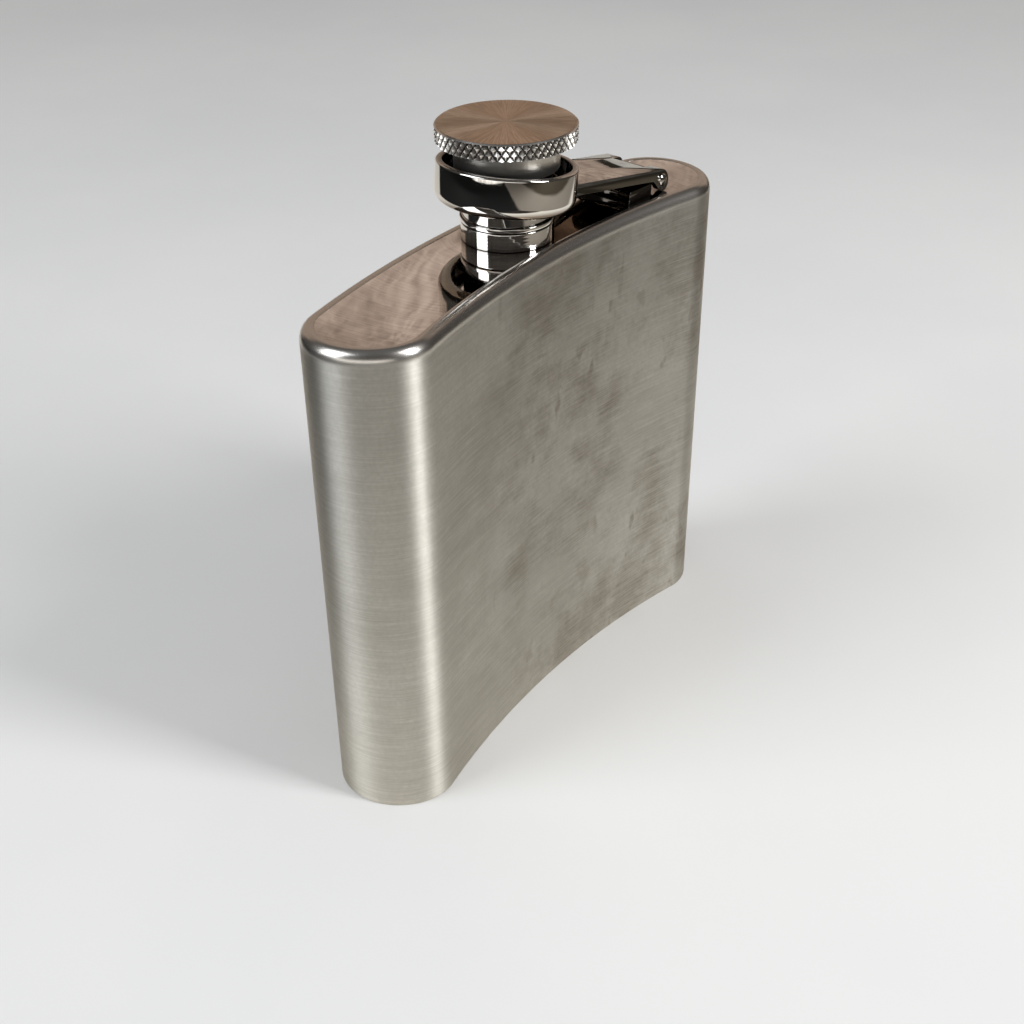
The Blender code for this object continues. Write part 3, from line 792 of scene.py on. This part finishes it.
def knurled_steel():
    """Turned steel: hair-fine strokes on the flat top, painted shade in the knurl's grooves."""
    material, nodes, shader, place = new_material("knurled_steel")
    height = nodes.dot(place, (0.0, 0.0, 1.0))
    distance, around = radial(nodes, place)
    top = PLATE + KNOB_TOP
    on_top = nodes.ramp(height, top - 0.06 * MM, top - 0.02 * MM)
    spoke = nodes.add("ShaderNodeVectorMath", operation="ADD")
    nodes.put(nodes.scaled(around, (60.0, 60.0, 0.0)), spoke.inputs[0])
    nodes.put(nodes.times(distance, 220.0), nodes.vector(spoke.inputs[1]))
    hairs = nodes.noise(spoke.outputs[0], 1.0, 3.0, 0.7, 0.7)
    haze = nodes.noise(place, 120.0, 3.0, 0.6)
    # the top's brown tones are a painted reflection of the brown wall; the hair strokes and haze
    # are the metal's own
    face = nodes.mix(nodes.ramp(hairs, 0.38, 0.62),
                     (0.48, 0.36, 0.26, 1.0), (0.74, 0.60, 0.47, 1.0))
    face = nodes.mix(nodes.ramp(haze, 0.4, 0.7, 0.0, 0.3), face, (0.38, 0.29, 0.21, 1.0))
    # painted shade: the bottoms of the knurl's grooves are coloured dark
    groove = nodes.ramp(distance, KNOB_RADIUS - KNURL_DEPTH, KNOB_RADIUS - 0.1 * MM)
    boss = nodes.ramp(distance, BOSS_RADIUS + 0.1 * MM, BOSS_RADIUS + 0.2 * MM, 1.0, 0.0)
    groove = nodes.math("MAXIMUM", groove, boss)
    side = nodes.mix(groove, (0.05, 0.045, 0.04, 1.0), (0.72, 0.70, 0.67, 1.0))
    # painted light: the boss gets a paler base colour so that it reads lit
    side = nodes.mix(boss, side, (0.88, 0.86, 0.82, 1.0))
    nodes.put(nodes.mix(on_top, side, face), shader.inputs["Base Color"])
    side_rough = nodes.ramp(boss, 0.0, 1.0, 0.25, 0.32)
    nodes.put(nodes.ramp(on_top, 0.0, 1.0, side_rough, 0.36), shader.inputs["Roughness"])
    nodes.put(nodes.times(on_top, 0.8), shader.inputs["Anisotropic"])
    nodes.put(1.0, shader.inputs["Metallic"])
    tangent = nodes.add("ShaderNodeTangent", direction_type="RADIAL", axis="Z").outputs[0]
    nodes.put(tangent, shader.inputs["Tangent"])
    nodes.put(nodes.bump(hairs, 0.02 * MM, nodes.times(on_top, 0.5)),
              shader.inputs["Normal"])
    return material


def silicone():
    """Matt, slightly translucent grey sealing disc."""
    material, nodes, shader, place = new_material("silicone")
    mottle = nodes.noise(place, 400.0, 3.0)
    nodes.put(nodes.mix(mottle, (0.55, 0.54, 0.52, 1.0), (0.66, 0.65, 0.62, 1.0)),
              shader.inputs["Base Color"])
    nodes.put(0.55, shader.inputs["Roughness"])
    nodes.put(0.25, shader.inputs["Subsurface Weight"])
    nodes.put(0.4 * MM, shader.inputs["Subsurface Scale"])
    nodes.put(nodes.bump(mottle, 0.01 * MM), shader.inputs["Normal"])
    return material


# ---- floor, light and camera --------------------------------------------
# the camera was fitted to the outline of the flask in the photograph; its angles are in radians
CAMERA_PLACE = Vector((-171.4, -130.8, 171.3)) * MM
CAMERA_YAW = 0.91991
CAMERA_PITCH = 0.57587
CAMERA_ROLL = -0.01141
FLOOR_TONES = ((0.78, 0.78, 0.78, 1.0), (0.82, 0.82, 0.81, 1.0))
MIRRORED_FLOOR = (0.94, 0.90, 0.82, 1.0)    # as the metal sees it, warm
EDGE_BLUR = 0.015
# Beyond these lines the metal mirrors the darker room instead of the floor. The camera doesn't
# see them. Each is an azimuth, a distance in that direction, and a colour.
MIRRORED_EDGES = (
    (-135.0, 0.13, (0.04, 0.034, 0.03, 1.0)),
    (-72.0, 0.11, (0.02, 0.02, 0.02, 1.0)),
    (150.0, 0.175, (0.30, 0.27, 0.23, 1.0)),
    (135.0, 0.30, (0.07, 0.06, 0.045, 1.0)),
)


def floor_material():
    material, nodes, shader, place = new_material("pale_floor")
    cloud = nodes.noise(place, 6.0, 4.0, 0.6)
    pale = nodes.mix(nodes.ramp(cloud, 0.3, 0.7), *FLOOR_TONES)
    mirrored = nodes.add("ShaderNodeLightPath").outputs["Is Glossy Ray"]
    pale = nodes.mix(mirrored, pale, MIRRORED_FLOOR)
    for azimuth, distance, colour in MIRRORED_EDGES:
        out = nodes.dot(place, facing(azimuth, 0.0))
        beyond = nodes.ramp(out, distance - EDGE_BLUR, distance + EDGE_BLUR)
        pale = nodes.mix(nodes.times(beyond, mirrored), pale, colour)
    nodes.put(pale, shader.inputs["Base Color"])
    nodes.put(0.0, shader.inputs["Specular IOR Level"])
    return material


def make_floor():
    reach, thickness = 3.0, 0.01
    floor = mesh_object("floor", box((-reach, -reach, -thickness), (reach, reach, 0.0)))
    floor.data.materials.append(floor_material())


def facing(azimuth, elevation):
    """Unit vector towards a compass azimuth from +Y, clockwise from above, in degrees."""
    a, e = math.radians(azimuth), math.radians(elevation)
    return Vector((math.sin(a) * math.cos(e), math.cos(a) * math.cos(e), math.sin(e)))


def add_card(nodes, direction, previous, azimuth, elevation, half_width, half_height,
             soft, colour, strength):
    """Blend a soft-edged rectangle of light into the surroundings."""
    normal = facing(azimuth, elevation)
    side = facing(azimuth + 90.0, 0.0)
    above = side.cross(normal)
    depth = nodes.math("MAXIMUM", nodes.dot(direction, normal), 0.001)
    masks = []
    for axis, half in ((side, half_width), (above, half_height)):
        offset = nodes.math("ABSOLUTE", nodes.math("DIVIDE", nodes.dot(direction, axis), depth))
        masks.append(nodes.ramp(offset, half + soft, half - soft))
    mask = nodes.times(masks[0], masks[1])
    mask = nodes.times(mask, nodes.ramp(nodes.dot(direction, normal), 0.0, 0.1))
    lit = [c * strength for c in colour] + [1.0]
    return nodes.mix(mask, previous, lit)


# the surroundings' soft patches of light: a brown wall and a pale strip
# azimuth, elevation, half width, half height, softness, colour, strength
CARDS = (
    (52.0, 22.0, 1.1, 0.45, 0.12, (0.41, 0.325, 0.265), 1.0),
    (-115.0, 5.0, 0.9, 0.14, 0.14, (1.0, 0.98, 0.93), 1.9),
)

# upright grain of the surroundings, which the polished metal shows as streaks:
# how fine it is along x, y and z, its darkest and its palest colour
GRAIN = (
    ((14.0, 14.0, 2.5), (0.78, 0.76, 0.74), (1.22, 1.22, 1.22)),
    ((170.0, 170.0, 7.0), (0.72, 0.70, 0.70), (1.22, 1.22, 1.22)),
)

ROOM = (0.06, 0.055, 0.05, 1.0)             # what the metal mirrors elsewhere
CEILING = (0.14, 0.14, 0.14, 1.0)
SOFT_FILL = (0.33, 0.33, 0.33, 1.0)         # light on the floor from all round
BACKDROP = (0.40, 0.395, 0.39, 1.0)         # what the camera sees past the floor


def make_world():
    world = bpy.data.worlds.new("studio")
    scene.world = world
    world.use_nodes = True
    nodes = Nodes(world.node_tree)
    direction = nodes.add("ShaderNodeTexCoord").outputs["Generated"]
    up = nodes.dot(direction, (0.0, 0.0, 1.0))
    around = nodes.mix(nodes.ramp(up, 0.6, 1.0), ROOM, CEILING)
    for card in CARDS:
        around = add_card(nodes, direction, around, *card)
    for scale, low, high in GRAIN:
        grain = nodes.ramp(nodes.noise(nodes.scaled(direction, scale), 1.0, 3.0, 0.6), 0.35, 0.65)
        around = nodes.mix(1.0, around, nodes.mix(grain, (*low, 1.0), (*high, 1.0)), "MULTIPLY")
    rays = nodes.add("ShaderNodeLightPath").outputs
    around = nodes.mix(rays["Is Diffuse Ray"], around, SOFT_FILL)
    around = nodes.mix(rays["Is Camera Ray"], around, BACKDROP)
    nodes.put(around, world.node_tree.nodes["Background"].inputs["Color"])


def make_light(name, azimuth, elevation, distance, size, power, colour=(1.0, 1.0, 1.0)):
    """A rectangular lamp that shines at the origin."""
    data = bpy.data.lights.new(name, "AREA")
    data.shape = "RECTANGLE"
    data.size, data.size_y = size
    data.energy = power
    data.color = colour
    lamp = bpy.data.objects.new(name, data)
    scene.collection.objects.link(lamp)
    lamp.location = facing(azimuth, elevation) * distance
    lamp.rotation_euler = lamp.location.to_track_quat("Z", "Y").to_euler()
    return lamp


def make_camera():
    data = bpy.data.cameras.new("camera")
    data.lens = 50.0
    data.sensor_width = 36.0
    data.clip_start = 10.0 * MM
    camera = bpy.data.objects.new("camera", data)
    scene.collection.objects.link(camera)
    ahead = facing(math.degrees(CAMERA_YAW), -math.degrees(CAMERA_PITCH))
    camera.rotation_mode = "QUATERNION"
    camera.rotation_quaternion = (ahead.to_track_quat("-Z", "Y")
                                  @ Euler((0.0, 0.0, CAMERA_ROLL)).to_quaternion())
    camera.location = CAMERA_PLACE
    scene.camera = camera


# ---- scene --------------------------------------------------------------
satin, polished = satin_steel(), polished_steel()
bright = chrome("chrome", 3.5 * MM)
make_body(satin)
make_bottom_plate(satin)
make_top_plate(polished)
make_neck(bright)
make_knob(knurled_steel())
make_sleeve(bright)
make_seal(silicone())
# the ring's painted gap shade reaches further, darkening it near the plate and under the knob
make_ring(chrome("ring_chrome", 8.0 * MM))
make_arm(bright)
make_pin(bright)
# painted shade: the bracket's chrome is dark all over for its place under the arm
make_bracket(chrome("bracket_shade_chrome", 9.0 * MM, (0.13, 0.12, 0.11, 1.0), (0.30, 0.28, 0.26, 1.0)))

make_floor()
make_world()
make_light("window", 168.0, 38.0, 0.7, (0.16, 0.42), 2.8)
make_light("side", -62.0, 38.0, 0.8, (0.38, 0.62), 2.8, (0.94, 0.97, 1.0))
make_light("top", 60.0, 85.0, 0.9, (0.6, 0.6), 0.7).visible_glossy = False
make_camera()
scene.view_settings.view_transform = "Standard"
